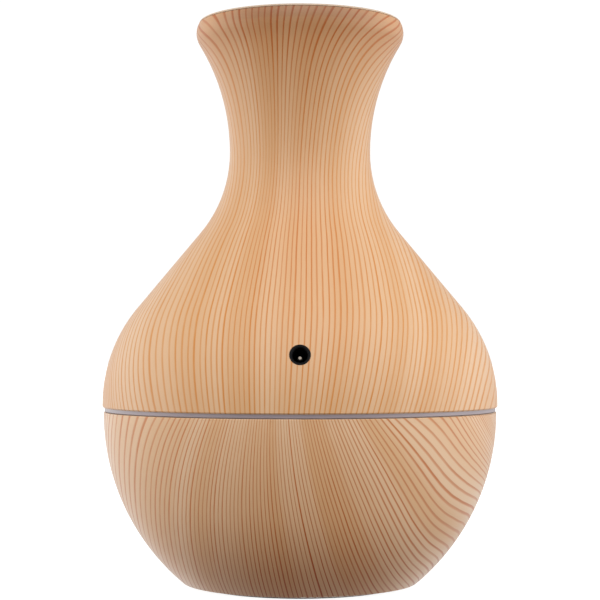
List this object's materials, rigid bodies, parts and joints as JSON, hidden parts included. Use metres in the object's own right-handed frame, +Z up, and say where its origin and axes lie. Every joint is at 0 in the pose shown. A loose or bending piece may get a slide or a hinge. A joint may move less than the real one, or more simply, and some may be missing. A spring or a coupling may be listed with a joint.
{
  "type": "cool mist humidifier",
  "caption": "Vase-shaped cool mist humidifier: a lift-off head with wick tube, mesh mist disc, push button and DC power socket, on a round water bowl.",
  "frame": {"origin": "centre of the foot pad's underside, where the humidifier stands", "axes": "+Z up along the vase's axis, -Y towards the power socket, +Y towards the push button, +X to the right seen from the socket's side"},
  "size_m": [0.1004, 0.1004, 0.1436],
  "materials": {
    "wood_grain_plastic": "satin, printed wood grain",
    "white_plastic": "satin, fine moulded texture",
    "light_diffuser": "frosted translucent",
    "black_foot_pad": "matt, fine closed-cell grain",
    "grey_silicone": "soft matt silicone",
    "screw_steel": "zinc plated",
    "mesh_steel": "bright stainless with a field of fine holes",
    "piezo_ceramic": "silvered ceramic",
    "circuit_board": "solder mask over copper",
    "black_component": "moulded epoxy",
    "ferrite": "dark ferrite",
    "capacitor_can": "plain can",
    "white_nylon": "natural nylon",
    "led_package": "clear over phosphor",
    "black_socket": "moulded black",
    "contact_nickel": "nickel plated",
    "button_plastic": "satin with a plain ring mark",
    "cotton_wick": "pressed cotton fibre",
    "spring_steel": "bright spring wire",
    "lead_jacket": "soft insulation"
  },
  "bodies": {
    "tank": {"tank_shell": "wood_grain_plastic", "tank_liner": "white_plastic", "base_pad": "black_foot_pad", "liner_screws": "screw_steel"},
    "seal": {"tank_seal": "grey_silicone"},
    "button": {"power_button": "button_plastic", "switch_plunger": "black_component"},
    "tube_ring": {"tube_gasket": "grey_silicone"},
    "tube": {"wick_tube": "white_plastic", "wick_spring": "spring_steel"},
    "wick": {"wick": "cotton_wick"},
    "head": {"upper_shell": "wood_grain_plastic", "mouth_ring": "wood_grain_plastic", "mist_funnel": "white_plastic", "head_base": "white_plastic", "atomiser_seat": "white_plastic", "atomiser_cap": "white_plastic", "light_ring": "light_diffuser", "disc_gasket": "grey_silicone", "funnel_seal": "grey_silicone", "chassis_screws": "screw_steel", "board_screws": "screw_steel", "jack_screws": "screw_steel", "button_screws": "screw_steel", "cap_screws": "screw_steel", "mesh_disc": "mesh_steel", "piezo_ring": "piezo_ceramic", "main_board": "circuit_board", "led_board": "circuit_board", "jack_board": "circuit_board", "button_board": "circuit_board", "controller_chip": "black_component", "tact_switch": "black_component", "boost_inductor": "ferrite", "filter_capacitors": "capacitor_can", "lead_sockets": "white_nylon", "ring_leds": "led_package", "power_jack": "black_socket", "jack_pin": "contact_nickel", "jack_lead": "lead_jacket", "button_lead": "lead_jacket", "mist_lead": "lead_jacket", "light_lead": "lead_jacket"}
  },
  "joints": [
    {"name": "head_rise", "type": "slide", "parent": "tank", "child": "seal", "axis": [0, 0, 1], "range_m": [0, 0.042]},
    {"name": "head_twist", "type": "hinge", "parent": "seal", "child": "head", "pos_m": [0, 0, 0.0449], "axis": [0, 0, 1], "range_deg": [0, 630]},
    {"name": "tube_drop", "type": "slide", "parent": "head", "child": "tube_ring", "axis": [0, 0, 1], "range_m": [-0.003, 0]},
    {"name": "tube_twist", "type": "hinge", "parent": "tube_ring", "child": "tube", "pos_m": [0, 0, 0.078], "axis": [0, 0, 1], "range_deg": [-90, 0]},
    {"name": "wick_slide", "type": "slide", "parent": "tube", "child": "wick", "axis": [0, 0, 1], "range_m": [-0.002, 0], "stiffness_N_per_m": 80, "springref_m": 0.003, "deforming": ["wick_spring"]},
    {"name": "button_press", "type": "slide", "parent": "head", "child": "button", "axis": [0, -0.9438, -0.3305], "range_m": [0, 0.0006], "stiffness_N_per_m": 800, "springref_m": -0.0008}
  ],
  "couplings": [
    {"joint": "head_rise", "follows": "head_twist", "m_per_rad": 0.0038197},
    {"joint": "tube_drop", "follows": "tube_twist", "m_per_rad": 0.0019099}
  ]
}
